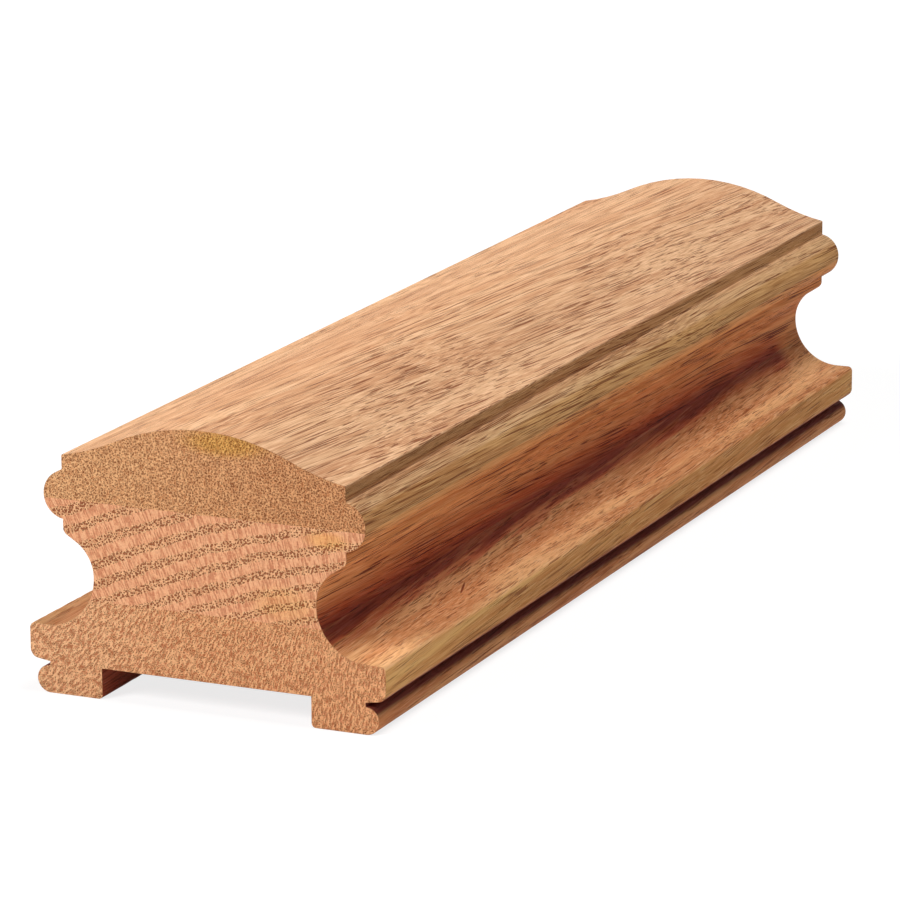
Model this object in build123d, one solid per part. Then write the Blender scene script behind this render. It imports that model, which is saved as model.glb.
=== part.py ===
from build123d import *
from math import asin, cos, degrees, radians, sin, sqrt, tan
import os

# A moulded oak stair handrail: a short straight length, cut square, lying on its two feet.
# Three flat boards are glued face to face and the blank is then moulded all round, so the
# boards share one section. X runs across the rail, Y along it and Z up. The origin is at
# the middle of the length, on the surface that the feet stand on.
# Lengths are in millimetres and angles in degrees.

rail_length = 260.0
board_thickness = 19.7  # of each of the two lower boards; the cap board takes what is left

# The plough, a wide shallow groove that takes the square heads of the balusters
baluster_square = 44.45
plough_clearance = 0.35
plough_depth = 6.2
foot_round = 0.9  # between the plough's wall and the sole of a foot

# The outer side of a foot: a half-round bead, parted from the flange by a small quirk
foot_bead_radius = 2.8
quirk_height = 0.75
quirk_depth = 4.25  # how far the bead's root lies inside the flange's edge

# The flange, the widest part of the rail
flange_height = 7.5
flange_under_slope = 8.0
flange_under_round = 1.8
flange_top_round = 1.0
flange_ledge = 3.8  # the flat stretch between the cove and the flange's edge

# The cove, the hollow that the fingers grip
neck_width = 47.6
cove_low_radius = 10.5
cove_high_radius = 8.0
cove_lip_slope = 32.0
cove_lip_round = 1.5

# The bead between its two square fillets
fillet_overhang = 6.4  # how far the fillets stand out from the neck
low_fillet_height = 2.6
bead_radius = 4.88
bead_inset = 0.8  # how far the bead's centre lies inside the fillets
high_fillet_height = 3.2

# The top: a crown that turns into a hollow flare at each side
crown_radius = 45.0
crown_turn = 25.0  # the slope where the crown becomes the flare
flare_slope = 10.0  # the slope where the flare meets the fillet

# Widths, from the middle of the rail outwards
plough_side = (baluster_square + plough_clearance) / 2
neck_side = neck_width / 2
fillet_side = neck_side + fillet_overhang
ledge_side = neck_side + cove_low_radius
flange_side = ledge_side + flange_ledge
quirk_side = flange_side - quirk_depth

# Heights, from the soles upwards
quirk_bottom = 2 * foot_bead_radius
flange_bottom = quirk_bottom + quirk_height
flange_top = flange_bottom + flange_height
throat_height = flange_top + cove_low_radius


def polar(centre, radius, angle):
    return (centre[0] + radius * cos(radians(angle)), centre[1] + radius * sin(radians(angle)))


def plough_floor():
    return Line((-plough_side, plough_depth), (plough_side, plough_depth))


# The right-hand foot, from the plough's floor round to the underside of the flange
def foot():
    wall_top = (plough_side, plough_depth)
    sole_corner = (plough_side, 0)
    sole_end = (quirk_side, 0)
    wall_and_sole = FilletPolyline(wall_top, sole_corner, sole_end, radius=foot_round)
    bead_arc = CenterArc((quirk_side, foot_bead_radius), foot_bead_radius, -90, 180)
    quirk = Line((quirk_side, quirk_bottom), (quirk_side, flange_bottom))
    return [wall_and_sole, bead_arc, quirk]


def flange():
    under_edge = flange_bottom + quirk_depth * tan(radians(flange_under_slope))
    corners = [
        (quirk_side, flange_bottom),
        (flange_side, under_edge),
        (flange_side, flange_top),
        (ledge_side, flange_top),
    ]
    return [FilletPolyline(*corners, radius=[flange_under_round, flange_top_round])]


# The cove, from the flange up to the lip, whose end is the underside of the bead
def cove():
    high_centre = (neck_side + cove_high_radius, throat_height)
    turn = 90 - cove_lip_slope
    low_arc = CenterArc((ledge_side, throat_height), cove_low_radius, -90, -90)
    high_arc = CenterArc(high_centre, cove_high_radius, 180, -turn)
    arc_end = polar(high_centre, cove_high_radius, 180 - turn)
    lip_height = arc_end[1] + (fillet_side - arc_end[0]) * tan(radians(cove_lip_slope))
    lip_end = (fillet_side, lip_height + low_fillet_height)
    lip = FilletPolyline(arc_end, (fillet_side, lip_height), lip_end, radius=cove_lip_round)
    return [low_arc, high_arc, lip], lip_end


def bead(start):
    half_chord = sqrt(bead_radius**2 - bead_inset**2)
    centre = (start[0] - bead_inset, start[1] + half_chord)
    half_turn = degrees(asin(half_chord / bead_radius))
    bead_arc = CenterArc(centre, bead_radius, -half_turn, 2 * half_turn)
    bead_end = (start[0], centre[1] + half_chord)
    fillet_end = (start[0], bead_end[1] + high_fillet_height)
    return [bead_arc, Line(bead_end, fillet_end)], fillet_end


# The hollow flare meets the crown where both have the crown's turning slope
def flare(start):
    flare_width = start[0] - crown_radius * sin(radians(crown_turn))
    flare_radius = flare_width / (sin(radians(crown_turn)) - sin(radians(flare_slope)))
    centre = polar(start, flare_radius, 90 - flare_slope)
    flare_arc = CenterArc(centre, flare_radius, 270 - flare_slope, flare_slope - crown_turn)
    return flare_arc, polar(centre, flare_radius, 270 - crown_turn)


def crown(meeting):
    centre = (0, meeting[1] - crown_radius * cos(radians(crown_turn)))
    return CenterArc(centre, crown_radius, 90 - crown_turn, 2 * crown_turn)


def rail_section():
    cove_lines, cove_end = cove()
    bead_lines, bead_end = bead(cove_end)
    flare_arc, flare_end = flare(bead_end)
    side = Curve() + foot() + flange() + cove_lines + bead_lines + flare_arc
    return make_face(side + mirror(side, about=Plane.YZ) + plough_floor() + crown(flare_end))


def moulded_rail():
    return extrude(Plane.XZ * rail_section(), amount=rail_length / 2, both=True)


def boards(rail):
    low_joint = Plane.XY.offset(board_thickness)
    high_joint = Plane.XY.offset(2 * board_thickness)
    upper_boards = split(rail, bisect_by=low_joint, keep=Keep.TOP)
    return {
        "base_board": split(rail, bisect_by=low_joint, keep=Keep.BOTTOM),
        "middle_board": split(upper_boards, bisect_by=high_joint, keep=Keep.BOTTOM),
        "cap_board": split(upper_boards, bisect_by=high_joint, keep=Keep.TOP),
    }


os.makedirs("parts", exist_ok=True)
rail = moulded_rail()
box = rail.bounding_box().size
print(f"rail {box.X:.2f} wide, {box.Y:.2f} long, {box.Z:.2f} high")
for name, board in boards(rail).items():
    export_step(board, f"parts/{name}.step")
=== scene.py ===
from math import asin, cos, degrees, radians, sin, sqrt, tan

import bpy
from mathutils import Matrix, Vector, noise


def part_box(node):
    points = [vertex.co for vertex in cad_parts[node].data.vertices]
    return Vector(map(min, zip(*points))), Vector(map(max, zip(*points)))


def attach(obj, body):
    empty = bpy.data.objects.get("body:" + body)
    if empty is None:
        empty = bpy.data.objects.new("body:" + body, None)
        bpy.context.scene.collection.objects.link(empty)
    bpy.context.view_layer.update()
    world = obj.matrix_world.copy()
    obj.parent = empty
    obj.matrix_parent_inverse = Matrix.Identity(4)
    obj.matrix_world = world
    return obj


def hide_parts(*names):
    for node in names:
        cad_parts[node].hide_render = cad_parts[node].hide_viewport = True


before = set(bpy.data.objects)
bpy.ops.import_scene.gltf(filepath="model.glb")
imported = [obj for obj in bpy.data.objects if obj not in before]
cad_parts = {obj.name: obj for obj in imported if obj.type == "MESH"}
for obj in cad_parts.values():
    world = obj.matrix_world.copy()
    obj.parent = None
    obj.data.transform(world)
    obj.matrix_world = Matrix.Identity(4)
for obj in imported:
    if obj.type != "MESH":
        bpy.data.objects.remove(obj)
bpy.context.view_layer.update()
mm = 0.001

# A short length of moulded oak handrail, glued up from three flat boards.
# X runs across the rail, Y along it and Z up. Sections are drawn in millimetres.
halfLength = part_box("base_board")[1].y / mm
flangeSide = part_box("base_board")[1].x / mm
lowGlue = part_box("middle_board")[0].z / mm
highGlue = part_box("cap_board")[0].z / mm
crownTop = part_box("cap_board")[1].z / mm

# The sizes that the three boards share
rail = {
    "neckSide": 23.8,  # half the width at the throat of the cove
    "throatHeight": 24.35,
    "coveLowRadius": 10.5,
    "filletSide": 30.2,
    "beadRadius": 4.88,
    "beadInset": 0.8,  # how far the bead's centre lies inside the fillets
    "beadHeight": 40.195,  # of its centre
    "sawnArris": 0.16,  # the edge that the saw leaves round each end
}

# How finely the boards are drawn
steps = {
    "arc": 4.0,  # degrees
    "corner": 6,  # steps round an eased corner
    "flat": 3.0,  # the longest step on a flat stretch
    "along": 1.3,  # from one section to the next
    "sawnArris": (90, 60, 30, 0),  # degrees, where a section stands on the saw's edge
    "sharpFrom": 38.0,  # degrees, where two faces meet in a sharp edge
}
touching = 0.001  # two points closer than this are level with each other, or one and the same


# Points are (x, z, rounding), and a rounding above 0 marks a corner to be eased
def arc(centre, radius, start, turn):
    count = max(2, round(abs(turn) / steps["arc"]))
    angles = [radians(start + turn * k / count) for k in range(count + 1)]
    return [(centre[0] + radius * cos(a), centre[1] + radius * sin(a), 0.0) for a in angles]


# Afterwards the third value says how much the wood may be worn there: 1 at the tip of an arris
def easeCorners(points):
    count = steps["corner"]
    eased = [(*points[0][:2], 0.0)]
    for before, corner, after in zip(points, points[1:], points[2:]):
        rounding = corner[2]
        if rounding == 0:
            eased.append((*corner[:2], 0.0))
            continue
        here = Vector(corner[:2])
        back = (Vector(before[:2]) - here).normalized()
        onward = (Vector(after[:2]) - here).normalized()
        halfAngle = back.angle(onward) / 2
        centre = here + (back + onward).normalized() * rounding / sin(halfAngle)
        first = here + back * rounding / tan(halfAngle) - centre
        last = here + onward * rounding / tan(halfAngle) - centre
        for k in range(count + 1):
            spoke = first.lerp(last, k / count).normalized() * rounding
            worn = sin(radians(180 * k / count))
            eased.append((centre.x + spoke.x, centre.y + spoke.y, worn))
    eased.append((*points[-1][:2], 0.0))
    return eased


def splitLong(points):
    out = [points[0]]
    for a, b in zip(points, points[1:]):
        count = max(1, round((Vector(b[:2]) - Vector(a[:2])).length / steps["flat"]))
        for k in range(1, count):
            x, z = (a[axis] + (b[axis] - a[axis]) * k / count for axis in (0, 1))
            out.append((x, z, 0.0))
        out.append(b)
    return out


# The centre of the cove's low part, and the angle between its throat and the glue line
def lowCove():
    centre = (rail["neckSide"] + rail["coveLowRadius"], rail["throatHeight"])
    return centre, degrees(asin((centre[1] - lowGlue) / rail["coveLowRadius"]))


# The right-hand side of each board, from the bottom up
foot = {
    "ploughSide": 22.4,
    "ploughDepth": 6.2,
    "footRound": 0.9,
    "footBead": 2.8,
    "quirkSide": 33.85,
    "flangeBottom": 6.35,
    "underSlope": 8.0,  # degrees
    "underRound": 1.8,
    "flangeTop": 13.85,
    "topRound": 1.0,
}


def baseSide():
    f = foot
    underEdge = f["flangeBottom"] + (flangeSide - f["quirkSide"]) * tan(radians(f["underSlope"]))
    coveCentre, glueTurn = lowCove()
    points = [(f["ploughSide"], f["ploughDepth"], 0.0), (f["ploughSide"], 0.0, f["footRound"])]
    points += arc((f["quirkSide"], f["footBead"]), f["footBead"], -90, 180)
    points += [(f["quirkSide"], f["flangeBottom"], 0.0)]
    points += [(flangeSide, underEdge, f["underRound"])]
    points += [(flangeSide, f["flangeTop"], f["topRound"])]
    return points + arc(coveCentre, rail["coveLowRadius"], -90, glueTurn - 90)


lip = {"coveHighRadius": 8.0, "coveHighTurn": 58.0, "lipHeight": 32.78, "lipRound": 1.5}


def beadArc(fromHeight, toHeight):
    radius = rail["beadRadius"]
    centre = (rail["filletSide"] - rail["beadInset"], rail["beadHeight"])
    start, end = (degrees(asin((z - centre[1]) / radius)) for z in (fromHeight, toHeight))
    return arc(centre, radius, start, end - start)


def halfBead():
    return sqrt(rail["beadRadius"] ** 2 - rail["beadInset"] ** 2)


def middleSide():
    coveCentre, glueTurn = lowCove()
    highCentre = (rail["neckSide"] + lip["coveHighRadius"], rail["throatHeight"])
    points = arc(coveCentre, rail["coveLowRadius"], 180 + glueTurn, -glueTurn)[:-1]
    points += arc(highCentre, lip["coveHighRadius"], 180, -lip["coveHighTurn"])
    points += [(rail["filletSide"], lip["lipHeight"], lip["lipRound"])]
    return points + beadArc(rail["beadHeight"] - halfBead(), highGlue)


crown = {
    "filletTop": 48.21,
    "filletArris": 0.3,
    "radius": 45.0,
    "turn": 25.0,  # degrees, the slope where the crown becomes the flare
    "flareSlope": 10.0,
}


def capSide():
    c = crown
    corner = (rail["filletSide"], c["filletTop"])
    turnSine, flareSine = (sin(radians(c[key])) for key in ("turn", "flareSlope"))
    flareRadius = (corner[0] - c["radius"] * turnSine) / (turnSine - flareSine)
    lean = radians(90 - c["flareSlope"])
    flareCentre = (corner[0] + flareRadius * cos(lean), corner[1] + flareRadius * sin(lean))
    points = beadArc(highGlue, rail["beadHeight"] + halfBead())
    points += [(*corner, c["filletArris"])]
    points += arc(flareCentre, flareRadius, 270 - c["flareSlope"], c["flareSlope"] - c["turn"])[1:]
    return points[:-1] + arc((0, crownTop - c["radius"]), c["radius"], 90 - c["turn"], c["turn"])


def closedLoop(side):
    side = splitLong(easeCorners(side))
    left = [(-x, z, worn) for x, z, worn in reversed(side)]
    endsInMiddle = abs(side[-1][0]) < touching
    return side + (left[1:] if endsInMiddle else left)


def onGlue(a, b):
    level = abs(a[1] - b[1]) < touching
    return level and min(abs(a[1] - lowGlue), abs(a[1] - highGlue)) < touching


# How each point of the loop moves when the section shrinks by 1 mm. Where the loop meets a
# glue line it slides along that line, so the boards stay flush with each other at the ends.
def shrinkDirections(loop):
    def normal(a, b):
        run = Vector((b[0] - a[0], b[1] - a[1]))
        return Vector((run.y, -run.x)).normalized()

    out = []
    for before, here, after in zip(loop[-1:] + loop[:-1], loop, loop[1:] + loop[:1]):
        one, two = normal(before, here), normal(here, after)
        if onGlue(before, here) != onGlue(here, after):
            free = two if onGlue(before, here) else one
            out.append(Vector((-1 / free.x, 0)))
        else:
            out.append(-(one + two) / (1 + one.dot(two)))
    return out


# Where the sections stand along the rail, and how much each is shrunk by the saw's edge
def boardRows():
    arris = rail["sawnArris"]
    turns = map(radians, steps["sawnArris"])
    near = [(-halfLength + arris * (1 - sin(a)), arris * (1 - cos(a))) for a in turns]
    length = 2 * (halfLength - arris)
    count = round(length / steps["along"])
    inner = [(-halfLength + arris + length * k / count, 0.0) for k in range(1, count)]
    return near + inner + [(-y, inset) for y, inset in reversed(near)]


# The long arrises are worn in places, with small deeper chips
wear = {
    "depth": 0.13,
    "along": 0.55,  # waves for each mm
    "across": 0.9,
    "chipsAlong": 1.7,
    "chipsShift": 40,
    "chipsFrom": 0.35,
    "chipDepth": 1.6,  # times the depth above
}


def nick(x, y, z):
    w = wear
    worn = noise.noise(Vector((y * w["along"], x * w["across"], z * w["across"])))
    chips = noise.noise(Vector((y * w["chipsAlong"] + w["chipsShift"], x, z)))
    return w["depth"] * (max(0.0, worn) + w["chipDepth"] * max(0.0, chips - w["chipsFrom"]))


def makeBoard(name, node, side, material):
    loop = closedLoop(side)
    shrink = shrinkDirections(loop)
    rows = boardRows()
    wide = len(loop)
    verts = []
    for y, inset in rows:
        for (x, z, worn), way in zip(loop, shrink):
            depth = inset + (worn * nick(x, y, z) if worn else 0.0)
            verts.append((mm * (x + way.x * depth), mm * y, mm * (z + way.y * depth)))
    faces = [tuple(range(wide))]
    for r in range(len(rows) - 1):
        for k in range(wide):
            here, beside = r * wide + k, r * wide + (k + 1) % wide
            faces.append((here, here + wide, beside + wide, beside))
    faces.append(tuple(reversed(range((len(rows) - 1) * wide, len(rows) * wide))))
    mesh = bpy.data.meshes.new(name)
    mesh.from_pydata(verts, [], faces)
    mesh.update()
    mesh.shade_smooth()
    mesh.set_sharp_from_angle(angle=radians(steps["sharpFrom"]))
    unrollUv(mesh, loop, rows)
    mesh.materials.append(material)
    board = bpy.data.objects.new(name, mesh)
    bpy.context.scene.collection.objects.link(board)
    weighted = board.modifiers.new("even faces", "WEIGHTED_NORMAL")
    weighted.keep_sharp = True
    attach(board, "root")
    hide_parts(node)
    print(name, len(mesh.polygons), "faces")


# The long surfaces are unrolled across the lower part of the map, and the ends lie above them
sheet = {
    "sideTop": 0.62,
    "endRows": (0.63, 0.815),
    "endHeight": 0.18,
    "glueShare": 0.06,  # of its true width that a hidden glue face gets
    "gap": 0.004,
}


def unrollUv(mesh, loop, rows):
    s = sheet
    wide = len(loop)
    along = [0.0]
    for a, b in zip(loop, loop[1:] + loop[:1]):
        length = (Vector(b[:2]) - Vector(a[:2])).length
        along.append(along[-1] + length * (s["glueShare"] if onGlue(a, b) else 1.0))
    spread, rise = 1 - 2 * s["gap"], s["sideTop"] - 2 * s["gap"]
    us = [s["gap"] + spread * a / along[-1] for a in along]
    vs = [s["gap"] + rise * (y + halfLength) / (2 * halfLength) for y, _ in rows]
    xs, zs = [p[0] for p in loop], [p[1] for p in loop]
    layer = mesh.uv_layers.new(name="OFBake")

    def endPlace(k, row):
        u = s["gap"] + spread * (xs[k] - min(xs)) / (max(xs) - min(xs))
        return u, row + s["endHeight"] * (zs[k] - min(zs)) / (max(zs) - min(zs))

    for face in mesh.polygons:
        isEnd = len(face.vertices) > 4
        for loopIndex, corner in zip(face.loop_indices, face.vertices):
            row, k = divmod(corner, wide)
            if isEnd:
                layer.data[loopIndex].uv = endPlace(k, s["endRows"][0 if row == 0 else 1])
            else:
                last = k == 0 and max(v % wide for v in face.vertices) == wide - 1
                layer.data[loopIndex].uv = (us[wide] if last else us[k], vs[row])


# Small helpers for node trees: a value is either a number or another node's output
def addNode(tree, kind, inputs=(), **settings):
    node = tree.nodes.new("ShaderNode" + kind)
    for key, value in settings.items():
        setattr(node, key, value)
    for name, value in dict(inputs).items():
        if isinstance(value, bpy.types.NodeSocket):
            tree.links.new(value, node.inputs[name])
        else:
            node.inputs[name].default_value = value
    return node


def maths(tree, operation, *values):
    return addNode(tree, "Math", enumerate(values), operation=operation).outputs[0]


def times(tree, first, *others):
    for other in others:
        first = maths(tree, "MULTIPLY", first, other)
    return first


def vectorMaths(tree, operation, *values):
    return addNode(tree, "VectorMath", enumerate(values), operation=operation).outputs[0]


def lengthOf(tree, vector):
    return addNode(tree, "VectorMath", {0: vector}, operation="LENGTH").outputs["Value"]


def combine(tree, x, y, z=0.0):
    return addNode(tree, "CombineXYZ", {"X": x, "Y": y, "Z": z}).outputs[0]


# Eases from bottom to top while the value goes from low to high
def fade(tree, value, low, high, bottom=0.0, top=1.0):
    inputs = {"Value": value, "From Min": low, "From Max": high, "To Min": bottom, "To Max": top}
    return addNode(tree, "MapRange", inputs, interpolation_type="SMOOTHSTEP").outputs[0]


# 1 between two heights, with an edge this soft at each
def between(tree, value, low, high, soft):
    above = fade(tree, value, low - soft, low + soft)
    return times(tree, above, fade(tree, value, high + soft, high - soft))


# Turns a noise into a shift of at most this much either way
def shift(tree, noisyValue, span, most):
    return fade(tree, noisyValue, *span, -most, most)


# A mix node takes its two colours at inputs 6 and 7 and gives the result at output 2
def tint(tree, factor, under, over, mode="MIX"):
    inputs = {0: factor, 6: under, 7: over}
    return addNode(tree, "Mix", inputs, data_type="RGBA", blend_type=mode).outputs[2]


def paint(tree, under, mask, amount, over):
    return tint(tree, times(tree, mask, amount), under, over)


def colour(red, green, blue):  # written as the eye sees it, 0 to 255
    def linear(value):
        value = value / 255
        return value / 12.92 if value <= 0.04045 else ((value + 0.055) / 1.055) ** 2.4

    return (linear(red), linear(green), linear(blue), 1.0)


someDetail, moreDetail = 1.0, 2.0


def noisy(tree, vector, detail=0.0):
    inputs = {"Vector": vector, "Scale": 1.0, "Detail": detail}
    return addNode(tree, "TexNoise", inputs).outputs["Fac"]


def stretched(tree, spot, across, along):
    sizes = zip(spot, (across, along, across))
    return combine(tree, *(maths(tree, "DIVIDE", part, size) for part, size in sizes))


# Noise drawn out along the grain
def grainNoise(tree, spot, across, along, detail):
    return noisy(tree, stretched(tree, spot, across, along), detail)


# From here on, sizes are in mm, and a pair says where a mark goes from none of itself to all.
# On the planed sides the fibres drift across the board and wander a little. Each board starts
# at a place of its own, so no two boards share a pattern.
wander = {"length": 90.0, "span": (0.25, 0.75), "most": 0.6}


def grainPlace(tree, look, raw, sawn):
    slowly = stretched(tree, raw, wander["length"], wander["length"])
    slowInputs = {"Vector": slowly, "Scale": 1.0, "Detail": someDetail}
    slow = addNode(tree, "TexNoise", slowInputs).outputs["Color"]
    slow = addNode(tree, "SeparateColor", {0: slow}).outputs
    planed = maths(tree, "SUBTRACT", 1.0, sawn)
    moved = []
    for axis, k in ((0, 0), (2, 1)):  # across, then up
        slope = fade(tree, raw[2], *look["turnFrom"], *look["drift"][k])
        drift = times(tree, raw[1], slope)
        drift = maths(tree, "ADD", drift, shift(tree, slow[k], wander["span"], wander["most"]))
        moved.append(maths(tree, "ADD", raw[axis], times(tree, drift, planed)))
    return moved[0], maths(tree, "ADD", raw[1], look["start"]), moved[1]


ringWaves = {"width": 7.0, "run": 60.0, "span": (0.2, 0.8), "bandEdge": 0.05}


# Growth rings round the pith, each wider than the last: 1 in the band of large vessels, else 0
def ringBands(tree, look, spot, radius):
    widening = look["ringWidening"]
    part = maths(tree, "SUBTRACT", radius, look["firstRing"])
    part = maths(tree, "MULTIPLY_ADD", part, 2 * widening / look["ringWidth"], 1.0)
    part = maths(tree, "SUBTRACT", maths(tree, "SQRT", part), 1.0)
    count = maths(tree, "DIVIDE", part, widening)
    uneven = grainNoise(tree, spot, ringWaves["width"], ringWaves["run"], moreDetail)
    uneven = shift(tree, uneven, ringWaves["span"], look["unevenRings"])
    ring = maths(tree, "PINGPONG", maths(tree, "ADD", count, uneven), 0.5)
    half, edge = look["earlyShare"] / 2, ringWaves["bandEdge"]
    return times(tree, fade(tree, ring, half + edge, half - edge), look["earlyStrength"])


sawnVessels = {
    "leastSize": 0.6,  # as a share of the ring's usual size
    "sizeRange": 0.7,
    "edge": (0.08, -0.08),
    "shownFrom": (0.02, 0.12),  # smaller ones don't show
    "wall": (0.3, 0.06),
    "wallShownFrom": (0.06, 0.2),
}


# The sawn ends cut the vessels across: round dots, each with a pale wall
def vesselMasks(tree, look, x, z, early):
    v = sawnVessels
    cellInputs = {"Vector": combine(tree, x, z), "Scale": 1 / look["vesselSpacing"]}
    cells = addNode(tree, "TexVoronoi", cellInputs, voronoi_dimensions="2D")
    chance = addNode(tree, "SeparateColor", {0: cells.outputs["Color"]}).outputs[1]
    small = look["lateVessel"]
    size = maths(tree, "MULTIPLY_ADD", early, look["earlyVessel"] - small, small)
    chance = maths(tree, "MULTIPLY_ADD", chance, v["sizeRange"], v["leastSize"])
    size = times(tree, size, chance)
    outside = maths(tree, "SUBTRACT", cells.outputs["Distance"], size)
    vessel = times(tree, fade(tree, outside, *v["edge"]), fade(tree, size, *v["shownFrom"]))
    rim = maths(tree, "SUBTRACT", fade(tree, outside, *v["wall"]), vessel)
    return vessel, times(tree, rim, fade(tree, size, *v["wallShownFrom"]))


openVessels = {
    "width": 0.25,
    "run": 25.0,
    "clusterWidth": 3.0,
    "clusterRun": 30.0,
    "clusterSpan": (0.3, 0.7),
    "fewer": 0.05,  # how much the least value rises between the clusters
    "more": 0.02,  # and how much it falls inside them, and in the early wood
    "edge": (0.0, 0.06),
}


# A planed side lays the vessels open along their length: thin dark dashes that lie in clusters
def dashMask(tree, look, spot, early):
    v = openVessels
    dash = grainNoise(tree, spot, v["width"], v["run"], someDetail)
    cluster = grainNoise(tree, spot, v["clusterWidth"], v["clusterRun"], someDetail)
    most, least = look["dashFrom"] + v["fewer"], look["dashFrom"] - v["more"]
    start = fade(tree, cluster, *v["clusterSpan"], most, least)
    start = maths(tree, "MULTIPLY_ADD", early, -v["more"], start)
    return fade(tree, maths(tree, "SUBTRACT", dash, start), *v["edge"])


rays = {
    "height": 6.0,  # along the grain
    "dark": (0.5, 0.64),
    "pale": (0.5, 0.36),
    "broad": (0.62, 0.72),
    "broadWidth": 3.2,  # times a fine one's
    "broadReach": 4.0,
    "broadStrength": 0.6,
}


# Rays are thin ribbons that point at the pith: many fine ones, and a few broad pale ones
def rayMasks(tree, look, around, radius, y):
    along = maths(tree, "DIVIDE", y, rays["height"])

    def ribbons(width, reach):
        ribbon = maths(tree, "DIVIDE", around, width)
        return noisy(tree, combine(tree, ribbon, maths(tree, "DIVIDE", radius, reach), along))

    fine = ribbons(look["rayWidth"], look["rayReach"])
    broad = ribbons(look["rayWidth"] * rays["broadWidth"], look["rayReach"] * rays["broadReach"])
    dark, pale = (fade(tree, fine, *rays[kind]) for kind in ("dark", "pale"))
    return dark, pale, fade(tree, broad, *rays["broad"])


fibres = {"width": 0.18, "run": 12.0, "dark": (0.52, 0.66), "pale": (0.48, 0.36)}
streaks = {"width": 3.6, "run": 130.0, "span": (0.38, 0.62)}
grit = {"run": 4.0, "dark": (0.5, 0.62), "pale": (0.5, 0.38)}


def oakMarks(tree, look, raw, sawn):
    spot = grainPlace(tree, look, raw, sawn)
    x, y, z = spot
    fromX = maths(tree, "SUBTRACT", x, look["pith"][0])
    fromZ = maths(tree, "SUBTRACT", z, look["pith"][1])
    radius = lengthOf(tree, combine(tree, fromX, fromZ))
    around = times(tree, maths(tree, "ARCTAN2", fromZ, fromX), look["meanRadius"])
    early = ringBands(tree, look, spot, radius)
    vessel, rim = vesselMasks(tree, look, x, z, early)
    darkRay, paleRay, broadRay = rayMasks(tree, look, around, radius, y)
    patchySizes = (paintedShade["streakWidth"], paintedShade["streakRun"])
    return {
        "early": early,
        "vessel": vessel,
        "rim": rim,
        "dash": dashMask(tree, look, spot, early),
        "darkRay": darkRay,
        "paleRay": paleRay,
        "broadRay": broadRay,
        "fibre": grainNoise(tree, spot, fibres["width"], fibres["run"], moreDetail),
        "streak": grainNoise(tree, spot, streaks["width"], streaks["run"], moreDetail),
        "grit": grainNoise(tree, spot, look["gritSize"], grit["run"], someDetail),
        "patchy": grainNoise(tree, spot, *patchySizes, moreDetail),
    }


# The distance from a spot's centre, counted in the spot's own sizes: 1 at its outer edge
def spotDistance(tree, place, centre, size, turn=0.0):
    apart = vectorMaths(tree, "SUBTRACT", place, centre)
    if turn:
        apart = addNode(tree, "VectorRotate", {"Vector": apart, "Angle": radians(turn)}).outputs[0]
    return lengthOf(tree, vectorMaths(tree, "DIVIDE", apart, size))


raggedSpan = (0.3, 0.7)  # of the noise that makes the edge of a colour ragged
sideEdges = {
    # where the painted shade on the right-hand side runs from none to all
    "lean": (-20.0, 28.0),  # across the rail
    "tanned": 1.3,  # this and the next two: how far the edge fades each way
    "toneHeight": 0.4,
    "toneWidth": 0.3,
    "scratch": (1.0, 0.6),  # in the scratch's own sizes
}


# Tanner wood above a height, with a soft and streaky edge
def tannedMask(tree, tanned, height, streak):
    height = maths(tree, "ADD", height, shift(tree, streak, raggedSpan, tanned["ragged"]))
    soft = sideEdges["tanned"]
    low, high = tanned["height"] - soft, tanned["height"] + soft
    return fade(tree, height, low, high, 0.0, tanned["strength"])


# Painted shade: the root of each cove and the plough are painted darker and redder, in streaks,
# where shade falls in them
paintedShade = {
    "leftShare": 0.4,  # how much of it the left-hand cove has
    "sides": (-5.0, 5.0),  # where left gives way to right
    "coveSide": (31.0, 30.0),
    "farStop": (121.0, 112.0),  # it ends just short of the far end
    "streakWidth": 1.3,
    "streakRun": 46.0,
    "streakSpan": (0.36, 0.56),
    "least": 0.66,  # of its strength, in the pale streaks
    "ragged": 0.5,  # how far its edges wander up and down
    "layers": (  # the lower edge, the upper edge and the tone
        ((15.9, 17.3), (26.5, 21.0), (0.78, 0.45, 0.46, 1.0)),
        ((17.0, 18.2), (21.9, 20.2), (0.5, 0.38, 0.5, 1.0)),
    ),
    "ploughSide": (22.9, 22.6),
    "ploughTop": (6.6, 6.3),
    "ploughShade": (0.52, 0.24, 0.25, 1.0),
}


# Painted shade in the root of each cove, with less of it on the left
def shadeCoves(tree, side, raw, outward, patchy):
    b = paintedShade
    share = fade(tree, raw[0], *b["sides"], b["leftShare"], 1.0)
    streaky = fade(tree, patchy, *b["streakSpan"], b["least"], 1.0)
    ending = fade(tree, raw[1], *b["farStop"])
    inCove = times(tree, fade(tree, outward, *b["coveSide"]), ending, share, streaky)
    level = maths(tree, "ADD", raw[2], shift(tree, patchy, raggedSpan, b["ragged"]))
    for low, high, tone in b["layers"]:
        shaded = times(tree, fade(tree, level, *low), fade(tree, level, *high), inCove)
        side = tint(tree, shaded, side, tone, "MULTIPLY")
    return side


# Painted shade in the plough
def shadePlough(tree, side, raw, outward):
    inPlough = fade(tree, outward, *paintedShade["ploughSide"])
    inPlough = times(tree, inPlough, fade(tree, raw[2], *paintedShade["ploughTop"]))
    return tint(tree, inPlough, side, paintedShade["ploughShade"], "MULTIPLY")
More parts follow.
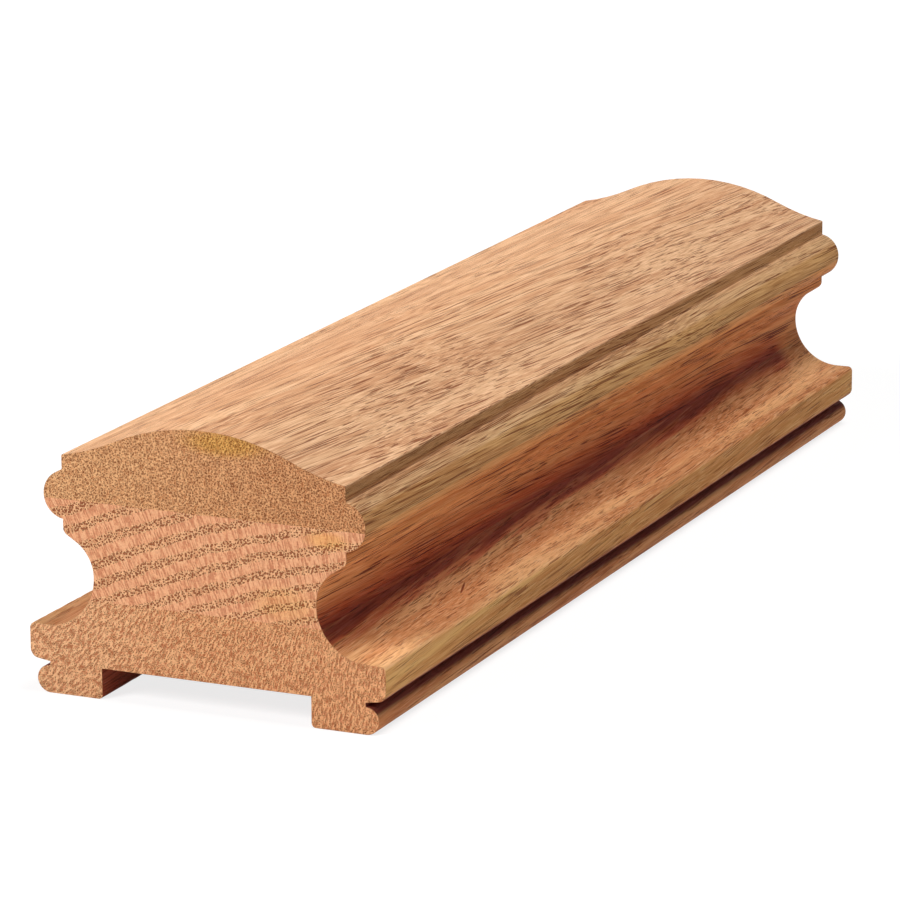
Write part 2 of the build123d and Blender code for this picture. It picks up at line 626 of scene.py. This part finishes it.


# Planed sides: broad streaks, fine fibres and opened vessels, then painted shade: on the
# right-hand side, on the mouldings, in the coves and in the plough
def planedColour(tree, look, place, raw, marks):
    side = tint(tree, fade(tree, marks["streak"], *streaks["span"]), look["pale"], look["deep"])
    side = paint(tree, side, marks["early"], look["earlyTone"], look["earlywood"])
    # Painted shade: the right-hand side of the board is made darker across the rail
    leaning = fade(tree, raw[0], *sideEdges["lean"])
    side = tint(tree, leaning, side, look["rightSideShade"], "MULTIPLY")
    if "tanned" in look:
        tanned = look["tanned"]
        mask = tannedMask(tree, tanned, raw[2], marks["streak"])
        side = tint(tree, mask, side, tanned["colour"])
    for kind, over in (("dark", look["fibreDark"]), ("pale", look["fibrePale"])):
        mask = fade(tree, marks["fibre"], *fibres[kind])
        side = paint(tree, side, mask, look["fibres"], over)
    side = paint(tree, side, marks["dash"], look["dashes"], look["dash"])
    outward = maths(tree, "ABSOLUTE", raw[0])
    softHeight, softWidth = sideEdges["toneHeight"], sideEdges["toneWidth"]
    # Painted shade on the mouldings' side faces and recesses
    for least, low, high, tone in look["shadeTones"]:
        inside = between(tree, raw[2], low, high, softHeight)
        beyond = fade(tree, outward, least - softWidth, least + softWidth)
        side = tint(tree, times(tree, inside, beyond), side, tone, "MULTIPLY")
    side = shadeCoves(tree, side, raw, outward, marks["patchy"])
    if "scratch" in look:
        scratch = look["scratch"]
        apart = spotDistance(tree, place, scratch["at"], scratch["size"], scratch["turn"])
        side = tint(tree, fade(tree, apart, *sideEdges["scratch"]), side, look["dash"])
    return shadePlough(tree, side, raw, outward)


stainEdge = (1.0, 0.3)


# Sawn ends: vessels with pale walls between the rays, then a lean across the end and stains
def sawnColour(tree, look, place, raw, marks):
    end = tint(tree, marks["early"], look["endLate"], look["endEarly"])
    layers = (
        (fade(tree, marks["grit"], *grit["dark"]), look["grit"], look["rayDark"]),
        (fade(tree, marks["grit"], *grit["pale"]), look["grit"], look["rim"]),
        (marks["darkRay"], look["rays"], look["rayDark"]),
        (marks["paleRay"], look["rays"], look["rayPale"]),
        (marks["broadRay"], look["rays"] * rays["broadStrength"], look["rayPale"]),
        (marks["rim"], look["rims"], look["rim"]),
        (marks["vessel"], look["vessels"], look["vessel"]),
    )
    for mask, amount, over in layers:
        end = paint(tree, end, mask, amount, over)
    leaning = fade(tree, raw[0], *look["leanAcross"])
    end = tint(tree, leaning, end, look["endLean"], "MULTIPLY")
    for centre, size, tone in look["stains"]:
        apart = spotDistance(tree, place, centre, size)
        end = tint(tree, fade(tree, apart, *stainEdge), end, tone, "MULTIPLY")
    return end


surface = {
    "sawnFacing": (0.6, 0.85),  # how squarely a face looks along the rail
    "specular": 0.1,
    "roughSpan": (0.25, 0.75),
    "rough": (0.6, 0.76),
    "pitRough": 0.9,
    "dashDepth": 0.7,  # as a share of the depth of a vessel cut across
    "fibreRelief": 0.9,
    "rayRelief": -0.3,
    "gritRelief": -0.6,
    "bumpStrength": 0.9,
    "bumpDepth": 0.0002,  # metres
}


def addRelief(tree, shader, sawn, marks):
    s = surface
    pitInputs = {0: sawn, 2: times(tree, marks["dash"], s["dashDepth"]), 3: marks["vessel"]}
    pits = addNode(tree, "Mix", pitInputs, data_type="FLOAT").outputs[0]
    rough = fade(tree, marks["fibre"], *s["roughSpan"], *s["rough"])
    rough = maths(tree, "MAXIMUM", rough, times(tree, pits, s["pitRough"]))
    tree.links.new(rough, shader.inputs["Roughness"])

    height = times(tree, pits, -1.0)
    height = maths(tree, "MULTIPLY_ADD", marks["fibre"], s["fibreRelief"], height)
    for mark, relief in (("darkRay", s["rayRelief"]), ("grit", s["gritRelief"])):
        height = maths(tree, "MULTIPLY_ADD", marks[mark], times(tree, sawn, relief), height)
    bumpInputs = {"Height": height, "Strength": s["bumpStrength"], "Distance": s["bumpDepth"]}
    tree.links.new(addNode(tree, "Bump", bumpInputs).outputs[0], shader.inputs["Normal"])


def oakFinish(name, look):
    material = bpy.data.materials.new(name)
    material.use_nodes = True
    tree = material.node_tree
    shader = tree.nodes["Principled BSDF"]
    shader.inputs["Specular IOR Level"].default_value = surface["specular"]
    coords = addNode(tree, "TexCoord").outputs
    scaling = {0: coords["Object"], "Scale": 1 / mm}
    place = addNode(tree, "VectorMath", scaling, operation="SCALE").outputs[0]
    raw = addNode(tree, "SeparateXYZ", {0: place}).outputs[:3]
    facing = addNode(tree, "SeparateXYZ", {0: coords["Normal"]}).outputs[1]
    sawn = fade(tree, maths(tree, "ABSOLUTE", facing), *surface["sawnFacing"])
    marks = oakMarks(tree, look, raw, sawn)
    side = planedColour(tree, look, place, raw, marks)
    end = sawnColour(tree, look, place, raw, marks)
    tree.links.new(tint(tree, sawn, side, end), shader.inputs["Base Color"])
    addRelief(tree, shader, sawn, marks)
    print(name, len(tree.nodes), "nodes")
    return material


baseBoard = {
    "start": 310.0,
    "turnFrom": (0.0, 19.7),  # the heights where the drift has its first and its last value
    "drift": ((0.0, 0.0), (-0.04, -0.05)),  # across and down, for each mm along
    "pith": (45.0, 100.0),  # x and z of the centre of the rings
    "meanRadius": 95.0,
    "firstRing": 60.0,
    "ringWidth": 3.0,
    "ringWidening": 0.02,
    "unevenRings": 0.35,
    "earlyShare": 0.5,
    "earlyStrength": 0.5,
    "earlyTone": 0.45,
    "earlyVessel": 0.28,
    "lateVessel": 0.18,
    "vesselSpacing": 0.56,
    "vessels": 0.7,  # here and below, a mark's own name gives its strength
    "rims": 0.7,
    "rayWidth": 0.4,
    "rayReach": 1.4,
    "rays": 0.7,
    "gritSize": 0.32,
    "grit": 0.65,
    "pale": colour(236, 180, 125),
    "deep": colour(208, 142, 92),
    "earlywood": colour(208, 128, 80),
    "rightSideShade": (1.0, 1.0, 1.0, 1.0),
    "fibres": 0.5,
    "fibreDark": colour(172, 106, 66),
    "fibrePale": colour(244, 194, 148),
    "dashFrom": 0.6,
    "dashes": 0.68,
    "dash": colour(132, 66, 36),
    "scratch": {"at": (30.6, -77.8, 14.6), "turn": -16.0, "size": (0.28, 3.6, 2.0)},
    # Painted shade, multiplied in: on the side of the flange, in the quirk and on the foot's bead
    # under the flange, and a little on the ledge
    "shadeTones": (  # outward from this width, between these two heights
        (36.7, 8.0, 13.2, (0.86, 0.9, 0.7, 1.0)),  # the flange's edge
        (33.4, 13.4, 15.0, (0.96, 0.98, 0.98, 1.0)),  # the ledge
        (33.0, 4.2, 7.6, (0.28, 0.12, 0.17, 1.0)),  # the quirk
        (30.0, -1.0, 4.2, (0.82, 0.7, 0.64, 1.0)),  # the foot's bead
    ),
    "endLate": colour(216, 147, 108),
    "endEarly": colour(211, 140, 97),
    "leanAcross": (-32.0, 6.0),
    "endLean": (0.95, 0.87, 0.8, 1.0),
    "stains": (),
    "rayDark": colour(160, 96, 60),
    "rayPale": colour(242, 190, 144),
    "rim": colour(244, 200, 150),
    "vessel": colour(140, 78, 46),
}
middleBoard = {
    "start": 720.0,
    "turnFrom": (19.7, 39.4),
    "drift": ((0.0, 0.0), (0.03, 0.03)),
    "pith": (75.0, -190.0),
    "meanRadius": 232.0,
    "firstRing": 217.7,
    "ringWidth": 3.06,
    "ringWidening": 0.04,
    "unevenRings": 0.12,
    "earlyShare": 0.48,
    "earlyStrength": 1.0,
    "earlyTone": 0.4,
    "earlyVessel": 0.4,
    "lateVessel": 0.03,
    "vesselSpacing": 0.5,
    "vessels": 0.88,
    "rims": 0.95,
    "rayWidth": 0.28,
    "rayReach": 2.0,
    "rays": 0.5,
    "gritSize": 0.36,
    "grit": 0.3,
    "pale": colour(238, 163, 103),
    "deep": colour(216, 133, 78),
    "earlywood": colour(206, 130, 80),
    "rightSideShade": (1.0, 1.0, 1.0, 1.0),
    "fibres": 0.5,
    "fibreDark": colour(172, 94, 54),
    "fibrePale": colour(240, 178, 128),
    "dashFrom": 0.6,
    "dashes": 0.86,
    "dash": colour(104, 36, 26),
    "tanned": {"height": 38.2, "ragged": 0.9, "strength": 0.65, "colour": colour(222, 170, 116)},
    # Painted shade on the side of the bead and its lower fillet
    "shadeTones": ((29.5, 30.0, 41.0, (0.92, 0.9, 0.78, 1.0)),),  # the bead and its lower fillet
    "endLate": colour(228, 160, 120),
    "endEarly": colour(226, 160, 116),
    "leanAcross": (-34.0, 30.0),
    "endLean": (1.0, 1.0, 1.0, 1.0),
    "stains": (  # the centre, the reach each way and the tone
        ((26.0, -130.0, 37.2), (6.0, 20.0, 2.4), (1.0, 0.98, 0.72, 1.0)),
        ((17.0, -130.0, 23.5), (9.0, 20.0, 5.0), (0.98, 0.99, 0.85, 1.0)),
    ),
    "rayDark": colour(178, 108, 76),
    "rayPale": colour(240, 184, 142),
    "rim": colour(250, 202, 152),
    "vessel": colour(148, 82, 52),
}
capBoard = {
    "start": 0.0,
    "turnFrom": (45.0, 50.0),
    "drift": ((0.0, -0.075), (0.025, 0.0)),
    "pith": (-20.0, -160.0),
    "meanRadius": 205.0,
    "firstRing": 150.0,
    "ringWidth": 1.9,
    "ringWidening": 0.01,
    "unevenRings": 0.5,
    "earlyShare": 0.5,
    "earlyStrength": 0.3,
    "earlyTone": 0.28,
    "earlyVessel": 0.4,
    "lateVessel": 0.3,
    "vesselSpacing": 0.52,
    "vessels": 0.62,
    "rims": 0.8,
    "rayWidth": 0.45,
    "rayReach": 1.2,
    "rays": 0.3,
    "gritSize": 0.3,
    "grit": 0.85,
    "pale": colour(239, 188, 143),
    "deep": colour(218, 161, 118),
    "earlywood": colour(216, 162, 120),
    # painted shade on the right-hand side of the cap
    "rightSideShade": (0.83, 0.84, 0.85, 1.0),
    "fibres": 0.6,
    "fibreDark": colour(172, 116, 78),
    "fibrePale": colour(246, 202, 160),
    "dashFrom": 0.578,
    "dashes": 0.84,
    "dash": colour(128, 72, 42),
    # Painted shade on the side faces of the fillet and the bead; the fillet's side is also darker
    # wood
    "shadeTones": (
        (29.5, 45.3, 48.0, (0.68, 0.59, 0.43, 1.0)),  # the fillet's side
        (29.4, 39.0, 45.0, (0.93, 0.94, 0.84, 1.0)),  # the bead
        (33.3, 39.0, 45.0, (0.86, 0.77, 0.59, 1.0)),  # its outermost part
    ),
    "endLate": colour(216, 154, 106),
    "endEarly": colour(210, 148, 100),
    "leanAcross": (-34.0, 30.0),
    "endLean": (0.86, 0.77, 0.73, 1.0),
    "stains": (((5.0, -130.0, 53.8), (12.0, 20.0, 3.4), (1.0, 1.03, 0.62, 1.0)),),
    "rayDark": colour(158, 98, 58),
    "rayPale": colour(236, 184, 134),
    "rim": colour(242, 190, 138),
    "vessel": colour(134, 76, 44),
}

for name, side, look in (
    ("base", baseSide(), baseBoard),
    ("middle", middleSide(), middleBoard),
    ("cap", capSide(), capBoard),
):
    finish = oakFinish("planed_oak_" + name, look)
    makeBoard(name + "_board_moulded", name + "_board", side, finish)


# 1 where the camera sees a surface, also in a reflection or through glass, and 0 for other rays
def seenMask(tree):
    ray = addNode(tree, "LightPath").outputs
    seen = maths(tree, "MAXIMUM", ray["Is Camera Ray"], ray["Is Glossy Ray"])
    return maths(tree, "MAXIMUM", seen, ray["Is Transmission Ray"])


# A white floor: the camera sees it at full white, with only the rail's soft shadow on it
floor = {
    "size": 8.0,
    "tone": (0.86, 0.82, 0.77, 1.0),  # as the rail sees it
    "shadowTone": (0.28, 0.28, 0.28, 1.0),  # as the camera sees the lamps' light on it
    "distance": (0.3, 0.9),  # metres from the rail
    "white": (0.8, 1.0),  # how white the floor is by itself at these distances
}


def makeFloor():
    bpy.ops.mesh.primitive_plane_add(size=floor["size"])
    plane = bpy.context.object
    plane.name = "studio_floor"
    material = bpy.data.materials.new("studio_white")
    material.use_nodes = True
    tree = material.node_tree
    tree.nodes.remove(tree.nodes["Principled BSDF"])
    seen = seenMask(tree)
    lit = tint(tree, seen, floor["tone"], floor["shadowTone"])
    matt = addNode(tree, "BsdfDiffuse", {"Color": lit})
    distance = lengthOf(tree, addNode(tree, "TexCoord").outputs["Object"])
    white = fade(tree, distance, *floor["distance"], *floor["white"])
    glow = addNode(tree, "Emission", {"Strength": times(tree, seen, white)})
    both = addNode(tree, "AddShader", {0: matt.outputs[0], 1: glow.outputs[0]})
    tree.links.new(both.outputs[0], tree.nodes["Material Output"].inputs["Surface"])
    plane.data.materials.append(material)
    print("floor", floor["size"], "m wide")


makeFloor()

# Soft lamps: one in front, to the left and above, and one over the rail, a little to its right
lamps = {
    "front": {"at": (-0.65, -1.15, 0.95), "size": 0.6, "watts": 20.5},
    "over": {"at": (0.34, 0.03, 1.31), "size": 0.45, "watts": 12.8},
}
lampAim = Vector((0, 0, 0.03))
for name, lamp in lamps.items():
    light = bpy.data.lights.new(name + "_lamp", "AREA")
    light.size = lamp["size"]
    light.energy = lamp["watts"]
    holder = bpy.data.objects.new(name + "_lamp", light)
    holder.location = lamp["at"]
    holder.rotation_euler = (lampAim - holder.location).to_track_quat("-Z", "Y").to_euler()
    bpy.context.scene.collection.objects.link(holder)
    print(name, "lamp", lamp["watts"], "W")

# The surroundings light the rail very little and look white
surroundings = {"light": 0.03, "seen": 1.0, "colour": (1.0, 1.0, 1.0, 1.0)}
world = bpy.data.worlds.new("studio")
world.use_nodes = True
bpy.context.scene.world = world
tree = world.node_tree
backdrop = tree.nodes["Background"]
backdrop.inputs["Color"].default_value = surroundings["colour"]
strength = fade(tree, seenMask(tree), 0.0, 1.0, surroundings["light"], surroundings["seen"])
tree.links.new(strength, backdrop.inputs["Strength"])

# The camera stands low to the right of the near end and looks along the rail
view = {
    "lens": 192.807,
    "sensor": 36.0,
    "azimuth": 24.3255,  # degrees
    "elevation": 14.6301,
    "roll": -0.3416,
    "distance": 1.03105,
    "aim": (-0.005231, -0.00425, 0.021419),
}
turn = Matrix.Rotation(radians(view["azimuth"]), 4, "Z")
tilt = Matrix.Rotation(radians(90 - view["elevation"]), 4, "X")
roll = Matrix.Rotation(radians(view["roll"]), 4, "Z")
lens = bpy.data.cameras.new("camera")
lens.lens = view["lens"]
lens.sensor_width = view["sensor"]
lens.sensor_fit = "HORIZONTAL"
camera = bpy.data.objects.new("camera", lens)
bpy.context.scene.collection.objects.link(camera)
back = Matrix.Translation((0, 0, view["distance"]))
camera.matrix_world = Matrix.Translation(view["aim"]) @ turn @ tilt @ roll @ back
bpy.context.scene.camera = camera
bpy.context.scene.view_settings.view_transform = "Standard"
print("camera", view["lens"], "mm lens")
